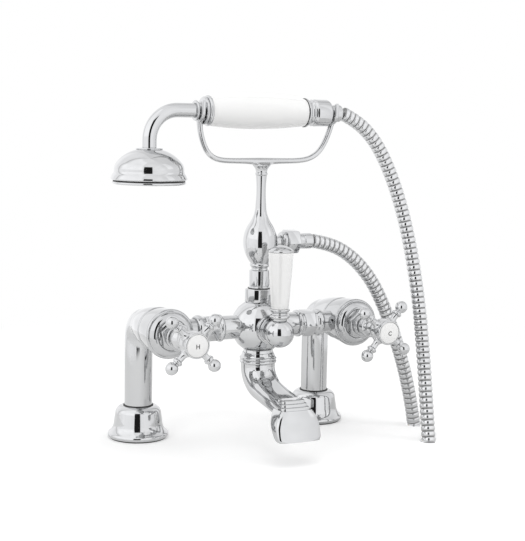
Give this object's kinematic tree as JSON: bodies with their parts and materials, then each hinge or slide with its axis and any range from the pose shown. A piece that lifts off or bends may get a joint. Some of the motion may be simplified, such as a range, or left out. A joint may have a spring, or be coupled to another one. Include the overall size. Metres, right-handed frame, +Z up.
{
  "type": "bath mixer",
  "caption": "Deck-mounted bath mixer on two legs, with crosshead taps, a diverter lever, a spout and a hand shower on a hose in a cradle.",
  "frame": {"origin": "on the deck, midway between the axes of the two legs", "axes": "+Z up from the deck, -Y towards the bather, where the spout and the taps point, +X towards the cold tap and the hose"},
  "size_m": [0.3281, 0.1957, 0.6252],
  "materials": {
    "chrome": "polished",
    "hose_steel": "polished, wound in narrow turns",
    "white_ceramic": "glossy glaze",
    "disc_ceramic": "lapped",
    "brass": "machined",
    "rubber": "matt",
    "screw_steel": "machined"
  },
  "bodies": {
    "mixer": {"threaded_tails": "brass", "deck_seals": "rubber", "deck_washers": "brass", "backnuts": "brass", "bonnets": "chrome", "headworks": "chrome", "seat_seals": "rubber", "fixed_discs": "disc_ceramic", "arm_nuts": "chrome", "hot_flange": "chrome", "cold_flange": "chrome", "hot_pillar": "chrome", "cold_pillar": "chrome", "hot_valve_body": "chrome", "cold_valve_body": "chrome", "hot_arm": "chrome", "cold_arm": "chrome", "centre_body": "chrome", "diverter_gland": "chrome", "spout_nut": "chrome", "spout": "chrome", "riser_nut": "chrome", "riser": "chrome", "cradle_yoke": "chrome", "outlet_nut": "chrome", "hose_washer_lower": "rubber", "hose_ferrule_lower": "chrome", "hose": "hose_steel"},
    "hot_handle": {"hot_moving_disc": "disc_ceramic", "hot_spindle": "brass", "hot_spindle_seal": "rubber", "hot_crosshead": "chrome", "hot_handle_screw": "screw_steel", "hot_index_ring": "chrome", "hot_index_disc": "white_ceramic"},
    "cold_handle": {"cold_moving_disc": "disc_ceramic", "cold_spindle": "brass", "cold_spindle_seal": "rubber", "cold_crosshead": "chrome", "cold_handle_screw": "screw_steel", "cold_index_ring": "chrome", "cold_index_disc": "white_ceramic"},
    "diverter": {"diverter_plug": "brass", "diverter_seals": "rubber", "diverter_hub": "chrome", "lever_handle": "white_ceramic", "lever_rod": "brass", "lever_cap": "chrome"},
    "handset": {"gooseneck": "chrome", "front_ferrule": "chrome", "handle": "white_ceramic", "handle_tube": "brass", "rear_ferrule": "chrome", "rose_collar": "chrome", "rose_bell": "chrome", "rose_gasket": "rubber", "rose_plate": "chrome", "hose_nut_upper": "chrome", "hose_washer_upper": "rubber"}
  },
  "joints": [
    {"name": "hot_turn", "type": "hinge", "parent": "mixer", "child": "hot_handle", "pos_m": [-0.09, -0.1, 0.106], "axis": [0, -1, 0], "range_deg": [0, 90]},
    {"name": "cold_turn", "type": "hinge", "parent": "mixer", "child": "cold_handle", "pos_m": [0.09, -0.1, 0.106], "axis": [0, -1, 0], "range_deg": [-90, 0]},
    {"name": "diverter_turn", "type": "hinge", "parent": "mixer", "child": "diverter", "pos_m": [0, -0.1, 0.106], "axis": [0, -1, 0], "range_deg": [0, 90]},
    {"name": "handset_lift", "type": "slide", "parent": "mixer", "child": "handset", "axis": [0, 0, 1], "range_m": [0, 0.04]}
  ]
}
